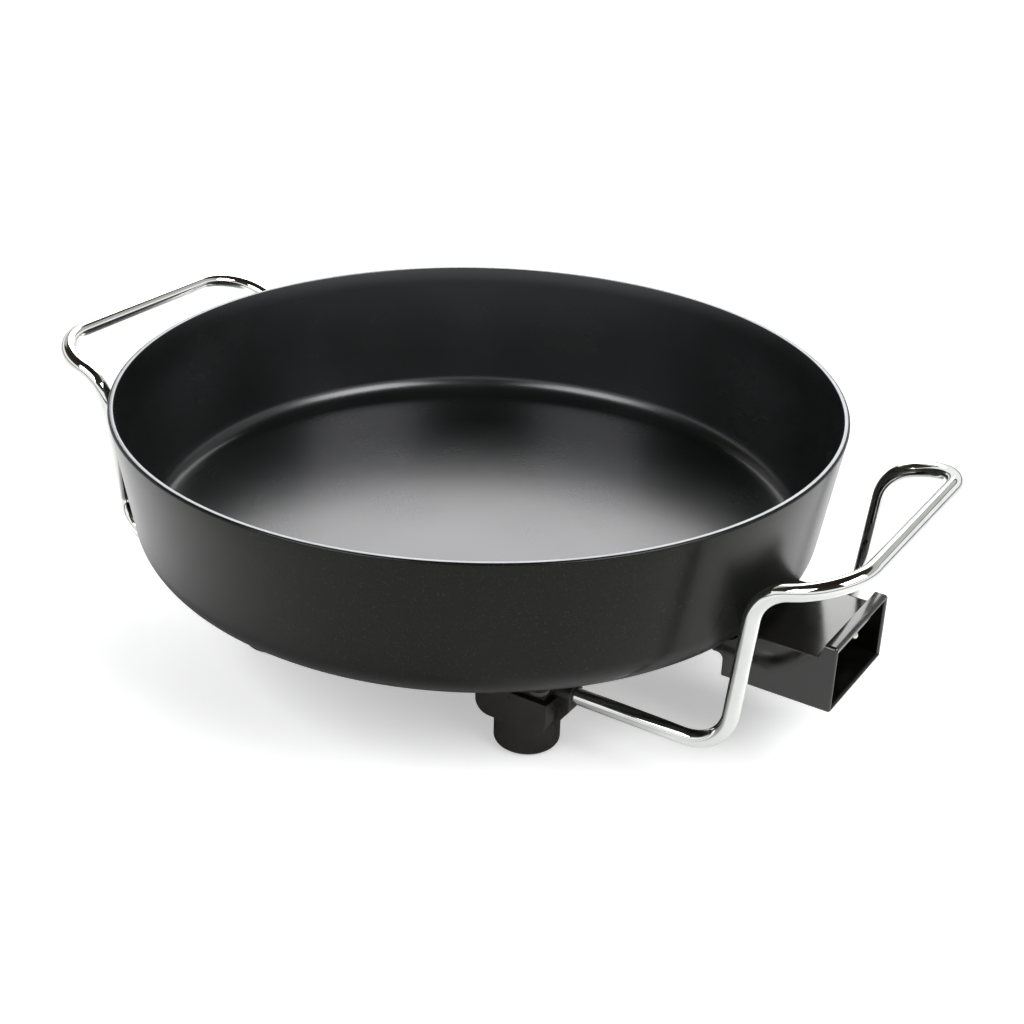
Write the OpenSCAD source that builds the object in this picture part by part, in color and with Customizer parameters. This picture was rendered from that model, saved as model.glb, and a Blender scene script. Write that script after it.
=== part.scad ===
// Electric skillet: a deep round pan on two bent wire handles and four moulded feet,
// with a socket at one side for a plug-in thermostat.
// Millimetres, +Z up. The origin is on the ground under the pan's centre, the socket
// opens towards +X, and the front is towards -Y.

/* [Pan] */
// Radius of the pan at the outside of its rim
rim_r = 167.3; // [157:0.1:177]
// Height of the pan from its underside to its rim
pan_h = 72; // [64:1:85]
// Height of the pan's underside above the ground
base_z = 56; // [53:1:62]
// How much the wall leans out between the underside and the rim
wall_lean = 11; // [6:0.5:14]
// Thickness of the wall
wall_t = 2.8; // [2:0.1:4]
// Thickness of the base
base_t = 4.7; // [4:0.1:6]
// Radius of the outer edge between the underside and the wall
outer_edge_r = 22; // [14:0.5:26]
// Radius of the inner edge between the floor and the wall
inner_edge_r = 10; // [6:0.5:20]
// Height of the lugs that the feet are screwed to
lug_h = 10; // [8:0.5:12]
// Diameter of those lugs
lug_d = 20; // [16:0.5:22]

/* [Handles] */
// Diameter of the bent wire
wire_d = 7.4; // [6:0.1:9]
// Height of the wire's lower run above the ground
run_z = 32; // [29:1:35]
// Clear gap for the fingers between the rim and the grip
finger_gap = 38.7; // [32:0.1:48]
// How far the grip lies below the rim
grip_drop = 7.7; // [4:0.1:12]
// How far the top corner of each leg stands outside the rim
leg_out = 5.7; // [4.5:0.1:10]
// How far the top corner of each leg lies below the rim
leg_drop = 19; // [15:0.5:24]
// How far each leg leans in between its top and bottom corners
leg_lean = 7.2; // [4:0.1:10]
// Bend radius at the bottom of each leg, on the wire's centre line
foot_bend_r = 20; // [14:0.5:26]
// Bend radius at the top of each leg, on the wire's centre line
arm_bend_r = 20; // [12:0.5:24]
// Bend radius at both ends of the grip, on the wire's centre line
grip_bend_r = 24; // [12:0.5:28]
// Width of the flattened end of the wire
tab_w = 11.6; // [10:0.1:13]
// Thickness of the flattened end of the wire
tab_t = 3.6; // [3:0.1:4.5]

/* [Feet] */
// Distance of each foot's centre inside the element's ring
foot_inset = 22.7; // [22:0.1:26]
// Angle of each foot from the X axis, seen from above
foot_angle = 42.9; // [40:0.1:45]
// Diameter of a foot's round lower end
foot_d = 29.4; // [26:0.2:32]
// Height of the round lower end above the ground
foot_round_h = 16.3; // [14:0.1:19]
// Length of a foot's upper block along the wire
block_l = 36; // [32:1:38]
// Radius of the block's lower edges
block_edge_r = 7; // [3:0.5:9]
// Radius of the round lower end's bottom edge
foot_edge_r = 2.5; // [1:0.1:4]
// Outer diameter of the sleeve that the wire leaves a foot through
sleeve_d = 11.6; // [10.6:0.1:13]
// Length of that sleeve
sleeve_l = 5.8; // [4:0.1:8]
// How far the saddle is set back from the foot below it, all round
saddle_step = 2.8; // [1.5:0.1:4]
// Diameter of a rubber pad
pad_d = 19.4; // [17:0.1:21]
// Thickness of a rubber pad
pad_t = 3.8; // [3:0.1:5]
// How far a pad stands out below its foot
pad_proud = 0.8; // [0.5:0.1:1.5]

/* [Heating element] */
// Diameter of the element's sheath
element_d = 8; // [7:0.1:9]
// Distance of the element's ring from the edge of the flat underside
element_inset = 17; // [15.5:0.5:20]
// Depth of the element's centre line below the pan's underside
element_drop = 3; // [2:0.1:3.4]
// Radius of the bends between the ring and its straight ends
element_bend_r = 12; // [9:0.5:14]
// Width of the rib that holds the element
rib_w = 16; // [14:0.5:17]
// Thickness of the ring that clamps the element
clamp_t = 1.5; // [1:0.1:2]
// Distance of the clamping screws from the element's centre line
clamp_screw_out = 10; // [9.8:0.1:10.4]
// Number of clamping screws
clamp_screw_n = 6; // [4:1:8]

/* [Socket] */
// Length of the shroud from its rear wall to its mouth
shroud_l = 50; // [46:1:58]
// Width of the shroud
shroud_w = 55.8; // [54:0.2:62]
// Height of the shroud's flat top above the terminals' centre line
shroud_above = 11.5; // [10:0.1:14]
// Depth of the shroud's bottom below the terminals' centre line
shroud_below = 13.6; // [12.6:0.1:16]
// Wall thickness of the shroud
shroud_t = 2.2; // [1.8:0.1:2.8]
// Thickness of the shroud's rear wall
rear_t = 3; // [2.6:0.1:3.5]
// Distance of that wall from the edge of the pan's flat underside
rear_out = 7; // [6:0.1:9]
// Radius of the shroud's long edges
shroud_edge_r = 1.8; // [0.6:0.1:2]
// Length of the raised frame round the mouth
frame_l = 5.6; // [4:0.1:9]
// How far the frame rises above the shroud's top
frame_rise = 6.3; // [4:0.1:10]
// Length of the ramp behind the frame
ramp_l = 2.2; // [1:0.1:4]
// Length of the shroud's neck under the pan
neck_l = 5; // [3:0.1:7]
// Depth of the neck below the pan's underside
neck_h = 5; // [4:0.1:6]
// Depth of the cast core between the terminals, below their centre line
core_depth = 10.8; // [10:0.1:11.4]
// Distance of the socket screws below that centre line
socket_screw_drop = 7.4; // [6.8:0.1:7.8]
// Distance between the two terminal pins
pin_gap = 32.4; // [30:0.2:34]
// Diameter of a terminal pin
pin_d = 5; // [4:0.1:6]
// Diameter of a pin's root, inside its bead and the element's end
pin_root_d = 3.2; // [2.4:0.1:3.6]
// How far the pins' tips lie inside the mouth
pin_recess = 7; // [4:0.5:12]
// Inner diameter of the probe's tube
probe_bore_d = 7; // [6:0.1:7.4]
// Outer diameter of the probe's tube
probe_tube_d = 8.6; // [8.2:0.1:8.8]
// Depth of the probe's tube, from the terminal plate inwards
probe_l = 62; // [50:1:70]
// Thickness of the terminal plate
plate_t = 1.5; // [1:0.1:2]
// Length of a ceramic bead
bead_l = 5.5; // [4:0.1:7]
// Width of the earth strip
earth_w = 8; // [6:0.2:8.4]
// Thickness of the earth strip
earth_t = 0.8; // [0.5:0.1:1]
// Length of the earth strip
earth_l = 30; // [22:1:34]

/* [Fasteners] */
// Thread diameter of the foot screws
foot_screw_d = 5; // [4:0.5:5.4]
// Height of the foot screws' washers above the ground
screw_seat_z = 17; // [12:0.5:19]
// Thread diameter of the socket screws
socket_screw_d = 3.5; // [3:0.1:3.8]
// Thread diameter of the clamping screws
clamp_screw_d = 3; // [2.5:0.1:3.4]
// Thickness of a washer
washer_t = 1; // [0.6:0.1:1.6]

/* [Clearances] */
// Gap at each side between a piece and the recess that it sits in
seat_gap = 0.2; // [0.1:0.05:0.3]
// Gap between a screw or pin and its hole
hole_gap = 0.1; // [0.05:0.05:0.2]
// Gap between the shroud and the pan
pan_gap = 0.4; // [0.3:0.05:0.8]
// Height of the hair-thin ring where a bar's straight stretch meets its bend
seam_proud = 0.05; // [0.02:0.01:0.1]
// Length of that ring along the bar
seam_l = 0.3; // [0.1:0.1:0.6]

/* [Hidden] */
$fn = 96;

// The four corners: name, side along X, side along Y
CORNERS = [["front_right", 1, -1], ["front_left", -1, -1], ["back_right", 1, 1], ["back_left", -1, 1]];
// The two terminals: name, side along Y
TERMINALS = [["front", -1], ["back", 1]];

// A cut reaches this far past the face that it opens
over = 1;

// Pan-head screws, as multiples of the thread's diameter
head_d_ratio = 1.76;
head_h_ratio = 0.62;
recess_ratio = 0.7;

// Pan
rim_z = base_z + pan_h;
base_r = rim_r - wall_lean;
wall_angle = atan2(pan_h, wall_lean);
wall_across = wall_t / sin(wall_angle);
floor_z = base_z + base_t;
floor_r = base_r + base_t * wall_lean / pan_h - wall_across;
flat_r = base_r - edge_cut(outer_edge_r);

// Wire: corner points of one side of the right handle, in the plane of its legs
arm_x = rim_r + leg_out;
arm_z = rim_z - leg_drop;
leg_bottom_x = arm_x - leg_lean;
grip_x = rim_r + finger_gap + wire_d / 2;
grip_z = rim_z - grip_drop;
arm_len = norm([grip_x - arm_x, grip_z - arm_z]);
arm_corner = turn_between([-leg_lean, run_z - arm_z], [grip_x - arm_x, grip_z - arm_z]);
// Both bends of an arm shrink together where the arm is too short for them
arm_straight = 0.5;
bends_len = arm_bend_r / tan(arm_corner / 2) + grip_bend_r;
bend_fit = min(1, (arm_len - arm_straight) / bends_len);

// Underside of the pan
lug_z = base_z - lug_h;
lug_hole_z = base_z + 1.5;
element_r = flat_r - element_inset;
element_z = base_z - element_drop;
groove_d = element_d + 0.6;
rib_z = element_z - element_d / 2 - 0.3;
clamp_screw_r = element_r + clamp_screw_out;
clamp_ear_d = 9;
clamp_w = rib_w - 1;
clamp_gap_angle = asin((pin_gap / 2 + element_bend_r + clamp_ear_d) / element_r);

// Feet
foot_r = foot_d / 2;
foot_x = (element_r - foot_inset) * cos(foot_angle);
foot_y = (element_r - foot_inset) * sin(foot_angle);
block_end_x = foot_x + block_l / 2;
sleeve_end_x = block_end_x + sleeve_l;
tab_end_x = foot_x + block_l / 4;
pad_top_z = pad_t;
counterbore_d = 2 * foot_screw_d + 0.8;
washer_d = counterbore_d - 1;

// Terminals and the block under the pan that holds them
term_z = element_z;
term_y = pin_gap / 2;
block_wall = 1.5;
term_block_w = pin_gap + groove_d + 2 * block_wall;
term_block_x = element_r - 3;
term_block_z = term_z - element_d / 2 - 1.5;
rear_x = flat_r + rear_out;
probe_block_w = probe_tube_d + 7;
probe_block_z = term_z - probe_tube_d / 2 - 2;
core_w = pin_gap - groove_d - 1;
core_z = term_z - core_depth;
socket_screw_y = core_w / 2 - socket_screw_d / 2 - 1.8;
socket_screw_z = term_z - socket_screw_drop;
socket_screw_l = 16;

// Shroud
front_x = rear_x + shroud_l;
shroud_top = term_z + shroud_above;
frame_top = shroud_top + frame_rise;
shroud_bottom = term_z - shroud_below;
shroud_floor = shroud_bottom + shroud_t;
frame_x = front_x - frame_l;
neck_z = base_z - neck_h;
neck_fillet_r = 3;

// What stands on the terminal plate
plate_x = rear_x + rear_t;
plate_face_x = plate_x + plate_t;
plate_top = term_z + element_d / 2 + 1;
plate_w = shroud_w - 2 * shroud_t - 2;
bead_x = plate_face_x + 3.5;
bead_step = 0.7;
pin_tip_x = front_x - pin_recess;
pin_shoulder_x = bead_x + bead_l;
pin_root_x = bead_x - 7;
probe_end_x = plate_face_x - probe_l;
collar_t = 1;
collar_out = 0.8;
earth_z = shroud_floor + seat_gap;
earth_leg_h = 5;
contact_r = 1.2;
contact_inset = 4;
rivet_d = 2.4;
rivet_head_d = 4;
rivet_head_h = 0.9;
rivet_z = earth_z + earth_leg_h - rivet_head_d / 2;

// Straight part that a rounded edge takes off the pan's flat underside
function edge_cut(radius) = radius / tan((180 - wall_angle) / 2);
function unit(v) = v / norm(v);
function turn_between(u, v) = acos(unit(u) * unit(v));

// A round bar between two points
module rod(start, end, d) {
    along = unit(end - start);
    tilt = acos(along.z);
    heading = atan2(along.y, along.x);
    translate(start) rotate([0, tilt, heading]) cylinder(h = norm(end - start), d = d);
}

// A round bar bent round the corner between two neighbouring points
module bend(before, corner, after, r, d) {
    to_before = unit(before - corner);
    to_after = unit(after - corner);
    half = turn_between(to_before, to_after) / 2;
    centre = corner + unit(to_before + to_after) * r / sin(half);
    first = unit(corner + to_before * r / tan(half) - centre);
    normal = unit(cross(to_after, to_before));
    second = cross(normal, first);
    multmatrix([
        [first.x, second.x, normal.x, centre.x],
        [first.y, second.y, normal.y, centre.y],
        [first.z, second.z, normal.z, centre.z],
        [0, 0, 0, 1]
    ]) rotate_extrude(angle = 180 - 2 * half) translate([r, 0]) circle(d = d);
}

// Where a bar's straight stretch ends, on the way from point i towards point j
function stretch_end(points, radii, i, j) =
    radii[i] == 0 ? points[i] :
    let (u = unit(points[i - 1] - points[i]), v = unit(points[i + 1] - points[i]))
    points[i] + unit(points[j] - points[i]) * radii[i] / tan(turn_between(u, v) / 2);

// A round bar through a list of points, with a bend radius at each
module bent_bar(points, radii, d) {
    last = len(points) - 1;
    for (i = [0 : last - 1])
        rod(stretch_end(points, radii, i, i + 1), stretch_end(points, radii, i + 1, i), d);
    for (i = [1 : last - 1]) {
        bend(points[i - 1], points[i], points[i + 1], radii[i], d);
        for (j = [i - 1, i + 1]) {
            seam = stretch_end(points, radii, i, j);
            half = unit(points[j] - points[i]) * seam_l / 2;
            rod(seam - half, seam + half, d + 2 * seam_proud);
        }
    }
}

// A rod along X from one x to another
module rod_x(x0, x1, d) {
    translate([x0, 0, 0]) rotate([0, 90, 0]) cylinder(h = x1 - x0, d = d);
}

// A box given by its two corners
module box(low, high) {
    translate(low) cube(high - low);
}

// A flat shape drawn in Y and Z, extruded along X from one x to another
module along_x(x0, x1) {
    translate([x0, 0, 0]) rotate([90, 0, 90]) linear_extrude(height = x1 - x0) children();
}

// A flat shape drawn in X and Z, extruded along Y from one y to another
module along_y(y0, y1) {
    translate([0, y1, 0]) rotate([90, 0, 0]) linear_extrude(height = y1 - y0) children();
}

// A rectangle between two corners with rounded corners
module round_rect(low, high, r) {
    translate([low.x + r, low.y]) square([high.x - low.x - 2 * r, high.y - low.y]);
    translate([low.x, low.y + r]) square([high.x - low.x, high.y - low.y - 2 * r]);
    for (x = [low.x + r, high.x - r], y = [low.y + r, high.y - r])
        translate([x, y]) circle(r = r);
}

// A disc whose lower edge is rounded
module round_foot_disc(r, h, edge) {
    rotate_extrude() {
        polygon([[0, 0], [r - edge, 0], [r, edge], [r, h], [0, h]]);
        intersection() {
            translate([r - edge, edge]) circle(r = edge);
            square([r, h]);
        }
    }
}

// Puts a piece of the back right corner at one of the four corners
module at_corner(corner) {
    mirror([corner[1] < 0 ? 1 : 0, 0, 0])
        mirror([0, corner[2] < 0 ? 1 : 0, 0])
            children();
}

// Puts a piece at the back terminal's or the front terminal's centre line
module at_terminal(terminal) {
    translate([0, terminal[1] * term_y, term_z]) children();
}

module for_corners() {
    for (corner = CORNERS) at_corner(corner) children();
}

module at_foot() {
    translate([foot_x, foot_y, 0]) children();
}

// Places of the clamping screws, spread over the ring on both sides of its gap
module at_clamp_screws() {
    step = (360 - 2 * clamp_gap_angle) / clamp_screw_n;
    for (i = [0 : clamp_screw_n - 1])
        rotate(clamp_gap_angle + (i + 0.5) * step) translate([clamp_screw_r, 0, 0]) children();
}

// A pan-head screw with its head below and its shank above z = 0, with a hexagon recess
module screw(d, l) {
    head_h = head_h_ratio * d;
    difference() {
        union() {
            cylinder(d = d, h = l);
            translate([0, 0, -head_h]) round_foot_disc(head_d_ratio * d / 2, head_h, head_h / 3);
        }
        translate([0, 0, -head_h - over])
            cylinder(d = recess_ratio * d, h = head_h / 2 + over, $fn = 6);
    }
}

// ---- Pan ----

// Half section of a solid cup with a rounded lower edge
module cup_section(bottom_r, bottom_z, top_z, edge) {
    cut = edge_cut(edge);
    top_r = bottom_r + (top_z - bottom_z) * wall_lean / pan_h;
    polygon([
        [0, bottom_z], [bottom_r - cut, bottom_z],
        [bottom_r + cut * cos(wall_angle), bottom_z + cut * sin(wall_angle)],
        [top_r, top_z], [0, top_z]
    ]);
    translate([bottom_r - cut, bottom_z + edge]) circle(r = edge);
}

// Section of the element's groove, round the origin and open downwards
module groove_section(d) {
    circle(d = d);
    translate([-d / 2, -element_d]) square([d, element_d]);
}

// Follows the element: its ring, its two bends and its two straight ends.
// The first child is its section, the second the section at the seams.
module along_element(x_end) {
    reach = element_r + element_bend_r;
    bend_y = term_y + element_bend_r;
    bend_x = sqrt(reach ^ 2 - bend_y ^ 2);
    ring_angle = asin(bend_y / reach);
    translate([0, 0, element_z]) {
        rotate(ring_angle) rotate_extrude(angle = 360 - 2 * ring_angle)
            translate([element_r, 0]) children(0);
        for (side = [0, 1]) mirror([0, side, 0]) {
            translate([bend_x, bend_y, 0]) rotate(180 + ring_angle)
                rotate_extrude(angle = 90 - ring_angle) translate([element_bend_r, 0]) children(0);
            translate([0, term_y, 0]) {
                along_x(bend_x, x_end) children(0);
                along_x(bend_x - seam_l / 2, bend_x + seam_l / 2) children(1);
            }
            rotate(ring_angle) translate([element_r, seam_l / 2, 0]) rotate([90, 0, 0])
                linear_extrude(height = seam_l) children(1);
        }
    }
}

module pan_ribs() {
    top = base_z + over;
    // Rib that holds the element
    difference() {
        translate([0, 0, rib_z]) cylinder(r = element_r + rib_w / 2, h = top - rib_z);
        translate([0, 0, rib_z - over]) cylinder(r = element_r - rib_w / 2, h = top - rib_z);
    }
    // Bosses for the clamping screws
    at_clamp_screws() translate([0, 0, rib_z]) cylinder(d = clamp_ear_d, h = top - rib_z);
    // Lugs for the feet
    for_corners() at_foot() translate([0, 0, lug_z]) cylinder(d = lug_d, h = top - lug_z);
    // Block for the terminals, with a lower core between them
    box([term_block_x, -term_block_w / 2, term_block_z], [rear_x, term_block_w / 2, top + over]);
    box([term_block_x, -core_w / 2, core_z], [rear_x, core_w / 2, top]);
    // Block for the probe's tube
    box([probe_end_x - 4, -probe_block_w / 2, probe_block_z],
        [term_block_x + over, probe_block_w / 2, top]);
}

module pan() color("#45474a") difference() {
    union() {
        rotate_extrude() cup_section(base_r, base_z, rim_z, outer_edge_r);
        pan_ribs();
    }
    rotate_extrude() cup_section(floor_r, floor_z, rim_z + over, inner_edge_r);
    along_element(plate_face_x) {
        groove_section(groove_d);
        groove_section(groove_d + 2 * seam_proud);
    }
    translate([0, 0, term_z]) rod_x(probe_end_x, plate_face_x, probe_tube_d + 2 * hole_gap);
    for (side = [-1, 1]) translate([0, side * socket_screw_y, socket_screw_z])
        rod_x(rear_x - socket_screw_l + over, rear_x + over, socket_screw_d + 2 * hole_gap);
    for_corners() at_foot() translate([0, 0, lug_z - over])
        cylinder(d = foot_screw_d + 2 * hole_gap, h = lug_hole_z - lug_z + over);
    at_clamp_screws() translate([0, 0, rib_z - over])
        cylinder(d = clamp_screw_d + 2 * hole_gap, h = base_z - rib_z + over);
}

// ---- Handles ----

// The right handle: a grip, two arms, two legs and two runs to the feet, one wire.
// Each end is flattened into an eye for the foot's screw.
module handle() {
    side = [
        [tab_end_x, foot_y, run_z], [leg_bottom_x, foot_y, run_z],
        [arm_x, foot_y, arm_z], [grip_x, foot_y, grip_z]
    ];
    radii = [0, foot_bend_r, arm_bend_r * bend_fit, grip_bend_r * bend_fit];
    front = [for (i = [0 : 3]) [side[i].x, -side[i].y, side[i].z]];
    back = [for (i = [3 : -1 : 0]) side[i]];
    bent_bar(concat(front, back), concat(radii, [for (i = [3 : -1 : 0]) radii[i]]), wire_d);
    for (y = [-foot_y, foot_y]) translate([foot_x, y, run_z]) difference() {
        union() {
            cylinder(d = tab_w, h = tab_t, center = true);
            translate([0, -tab_w / 2, -tab_t / 2]) cube([tab_end_x - foot_x + over, tab_w, tab_t]);
        }
        cylinder(d = foot_screw_d + 2 * seat_gap, h = wire_d, center = true);
    }
}

module handle_right() color("#d9dcdc") handle();
module handle_left() color("#d9dcdc") mirror([1, 0, 0]) handle();

// ---- Feet ----

// Room for the wire's end, its flattened eye and the screw
module wire_seat() {
    pocket_w = tab_w + 2 * seat_gap;
    pocket_t = tab_t + 2 * seat_gap;
    translate([0, foot_y, run_z]) rod_x(tab_end_x, sleeve_end_x + over, wire_d + 2 * seat_gap);
    translate([foot_x, foot_y, run_z]) {
        cylinder(d = pocket_w, h = pocket_t, center = true);
        translate([0, -pocket_w / 2, -pocket_t / 2])
            cube([tab_end_x - foot_x + 2 * over, pocket_w, pocket_t]);
    }
}

// The sleeve round the wire, whole
module sleeve() {
    translate([0, foot_y, run_z])
        rod_x(block_end_x - saddle_step - over, sleeve_end_x, sleeve_d);
}

module foot() color("#1d1c1b") difference() {
    half_l = block_l / 2;
    union() {
        at_foot() translate([0, 0, pad_proud])
            round_foot_disc(foot_r, foot_round_h - pad_proud + over, foot_edge_r);
        translate([foot_x, 0, 0]) along_y(foot_y - foot_r, foot_y + foot_r) {
            translate([-half_l, foot_round_h + block_edge_r])
                square([block_l, run_z - foot_round_h - block_edge_r]);
            translate([block_edge_r - half_l, foot_round_h])
                square([block_l - 2 * block_edge_r, run_z - foot_round_h]);
            for (side = [-1, 1])
                translate([side * (half_l - block_edge_r), foot_round_h + block_edge_r])
                    circle(r = block_edge_r);
        }
        sleeve();
        // Web under the sleeve
        along_y(foot_y - sleeve_d / 2, foot_y + sleeve_d / 2) polygon([
            [foot_x + half_l - block_edge_r, foot_round_h],
            [block_end_x - over / 2, foot_round_h + over], [sleeve_end_x, run_z - sleeve_d / 2],
            [sleeve_end_x, run_z], [foot_x + half_l - block_edge_r, run_z]
        ]);
    }
    wire_seat();
    // Everything above the joint with the saddle
    box([foot_x, foot_y - foot_d, run_z], [sleeve_end_x + over, foot_y + foot_d, run_z + sleeve_d]);
    at_foot() {
        cylinder(d = foot_screw_d + 2 * seat_gap, h = run_z + over);
        cylinder(d = counterbore_d, h = screw_seat_z);
        translate([0, 0, -over]) cylinder(d = pad_d + 2 * seat_gap, h = pad_top_z + over);
    }
}

module saddle() color("#232221") difference() {
    half_l = block_l / 2 - saddle_step;
    half_w = foot_r - saddle_step;
    union() {
        box([foot_x - half_l, foot_y - half_w, run_z], [foot_x + half_l, foot_y + half_w, lug_z]);
        sleeve();
    }
    wire_seat();
    box([foot_x, foot_y - foot_d, run_z - sleeve_d], [sleeve_end_x + over, foot_y + foot_d, run_z]);
    at_foot() translate([0, 0, run_z - over])
        cylinder(d = foot_screw_d + 2 * seat_gap, h = lug_z - run_z + 2 * over);
}

module pad() color("#3a3a3a") at_foot() cylinder(d = pad_d, h = pad_top_z);

module foot_washers() color("#b9bcbe") for_corners() at_foot()
    translate([0, 0, screw_seat_z - washer_t]) difference() {
        cylinder(d = washer_d, h = washer_t);
        translate([0, 0, -over]) cylinder(d = foot_screw_d + 2 * hole_gap, h = washer_t + 2 * over);
    }

module foot_screws() color("#b9bcbe") for_corners() at_foot()
    translate([0, 0, screw_seat_z - washer_t]) screw(foot_screw_d, lug_hole_z - screw_seat_z);

// ---- Heating element ----

module heating_element() color("#8c8c88") difference() {
    along_element(bead_x) {
        circle(d = element_d);
        circle(d = element_d + 2 * seam_proud);
    }
    for (terminal = TERMINALS) at_terminal(terminal)
        rod_x(pin_root_x, bead_x + over, pin_root_d + 2 * hole_gap);
}

module element_clamp_ring() color("#a9acae") difference() {
    translate([0, 0, rib_z - clamp_t]) {
        rotate(clamp_gap_angle) rotate_extrude(angle = 360 - 2 * clamp_gap_angle)
            translate([element_r - clamp_w / 2, 0]) square([clamp_w, clamp_t]);
        at_clamp_screws() cylinder(d = clamp_ear_d, h = clamp_t);
    }
    at_clamp_screws() translate([0, 0, rib_z - clamp_t - over])
        cylinder(d = clamp_screw_d + 2 * seat_gap, h = clamp_t + 2 * over);
}

module clamp_screws() color("#b9bcbe") at_clamp_screws() translate([0, 0, rib_z - clamp_t])
    screw(clamp_screw_d, base_z - rib_z);

// ---- Socket ----

// Side outline of the shroud, in X and Z
module shroud_side() {
    polygon([
        [rear_x, shroud_bottom], [front_x, shroud_bottom], [front_x, frame_top],
        [frame_x, frame_top], [frame_x - ramp_l, shroud_top], [rear_x, shroud_top]
    ]);
}

// One half of the neck that reaches under the pan, in X and Z
module neck_side() {
    square_z = neck_z - neck_fillet_r;
    translate([rear_x - neck_l, neck_z]) square([neck_l + over, shroud_top - neck_z]);
    difference() {
        translate([rear_x - neck_fillet_r, square_z]) square([neck_fillet_r + over, neck_fillet_r + over]);
        translate([rear_x - neck_fillet_r, square_z]) circle(r = neck_fillet_r);
    }
}

// The pan's outside with the gap that the socket's pieces keep from it
module pan_room() {
    rotate_extrude() cup_section(base_r + pan_gap, base_z - pan_gap, rim_z, outer_edge_r + pan_gap);
}

module socket_shroud() color("#131313") difference() {
    half_w = shroud_w / 2;
    inside_y = half_w - shroud_t;
    union() {
        intersection() {
            along_x(rear_x, front_x)
                round_rect([-half_w, shroud_bottom], [half_w, frame_top], shroud_edge_r);
            along_y(-half_w - over, half_w + over) shroud_side();
        }
        for (side = [0, 1]) mirror([0, side, 0])
            along_y(term_block_w / 2 + pan_gap, half_w) neck_side();
    }
    box([plate_x, -inside_y, shroud_floor], [front_x + over, inside_y, shroud_top - shroud_t]);
    box([frame_x + shroud_t, -inside_y, shroud_floor], [front_x + over, inside_y, frame_top - shroud_t]);
    pan_room();
    for (terminal = TERMINALS) at_terminal(terminal)
        rod_x(rear_x - over, plate_x + over, element_d + 2 * seat_gap);
    translate([0, 0, term_z]) rod_x(rear_x - over, plate_x + over, probe_tube_d + 2 * seat_gap);
    for (side = [-1, 1]) translate([0, side * socket_screw_y, socket_screw_z])
        rod_x(rear_x - over, plate_x + over, socket_screw_d + 2 * seat_gap);
}

module terminal_plate() color("#b3b6b8") difference() {
    along_x(plate_x, plate_face_x)
        round_rect([-plate_w / 2, shroud_floor + seat_gap], [plate_w / 2, plate_top], shroud_edge_r);
    for (terminal = TERMINALS) at_terminal(terminal)
        rod_x(plate_x - over, plate_face_x + over, element_d + 2 * hole_gap);
    translate([0, 0, term_z]) rod_x(plate_x - over, plate_face_x + over, probe_tube_d + 2 * hole_gap);
    for (side = [-1, 1]) translate([0, side * socket_screw_y, socket_screw_z])
        rod_x(plate_x - over, plate_face_x + over, socket_screw_d + 2 * seat_gap);
    translate([0, 0, rivet_z]) rod_x(plate_x - over, plate_face_x + over, rivet_d + 2 * hole_gap);
    pan_room();
}

module socket_screws() color("#b9bcbe") for (side = [-1, 1])
    translate([plate_face_x, side * socket_screw_y, socket_screw_z]) rotate([0, -90, 0])
        screw(socket_screw_d, socket_screw_l + rear_t + plate_t - 2 * over);

module terminal_pin() color("#c9c6bc") {
    rod_x(pin_root_x, pin_shoulder_x + over, pin_root_d);
    rod_x(pin_shoulder_x, pin_tip_x - pin_d / 2, pin_d);
    translate([pin_tip_x - pin_d / 2, 0, 0]) sphere(d = pin_d);
}

module ceramic_bead() color("#e6e2d6") difference() {
    union() {
        rod_x(bead_x, bead_x + bead_l / 2, element_d);
        rod_x(bead_x, pin_shoulder_x, element_d - 2 * bead_step);
    }
    rod_x(bead_x - over, pin_shoulder_x + over, pin_root_d + 2 * hole_gap);
}

module probe_tube() color("#c4c6c8") translate([0, 0, term_z]) difference() {
    union() {
        rod_x(probe_end_x, plate_face_x + collar_t, probe_tube_d);
        rod_x(plate_face_x, plate_face_x + collar_t, probe_tube_d + 2 * collar_out);
    }
    rod_x(probe_end_x + collar_t, plate_face_x + collar_t + over, probe_bore_d);
}

module earth_strip() color("#c9a24a") difference() {
    union() {
        box([plate_face_x, -earth_w / 2, earth_z],
            [plate_face_x + earth_l, earth_w / 2, earth_z + earth_t]);
        box([plate_face_x, -earth_w / 2, earth_z],
            [plate_face_x + earth_t, earth_w / 2, earth_z + earth_leg_h]);
        // Raised contact at the free end
        translate([plate_face_x + earth_l - contact_inset, earth_w / 2, earth_z + earth_t])
            rotate([90, 0, 0]) cylinder(r = contact_r, h = earth_w);
    }
    // Flat underside
    box([plate_face_x, -earth_w, earth_z - over], [front_x, earth_w, earth_z]);
    translate([0, 0, rivet_z]) rod_x(plate_face_x - over, plate_face_x + 2 * over, rivet_d + 2 * hole_gap);
}

module earth_rivet() color("#b9bcbe") translate([0, 0, rivet_z]) {
    rod_x(plate_x, plate_face_x + earth_t, rivet_d);
    rod_x(plate_face_x + earth_t, plate_face_x + earth_t + rivet_head_h, rivet_head_d);
}

// ---- Nodes ----

pan();
handle_right();
handle_left();
for (corner = CORNERS) {
    at_corner(corner) foot();
    at_corner(corner) saddle();
    at_corner(corner) pad();
}
foot_screws();
foot_washers();
heating_element();
element_clamp_ring();
clamp_screws();
socket_shroud();
terminal_plate();
socket_screws();
for (terminal = TERMINALS) {
    at_terminal(terminal) terminal_pin();
    at_terminal(terminal) ceramic_bead();
}
probe_tube();
earth_strip();
earth_rivet();
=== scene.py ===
import math

import bmesh
import bpy
from mathutils import Matrix, Vector


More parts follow.
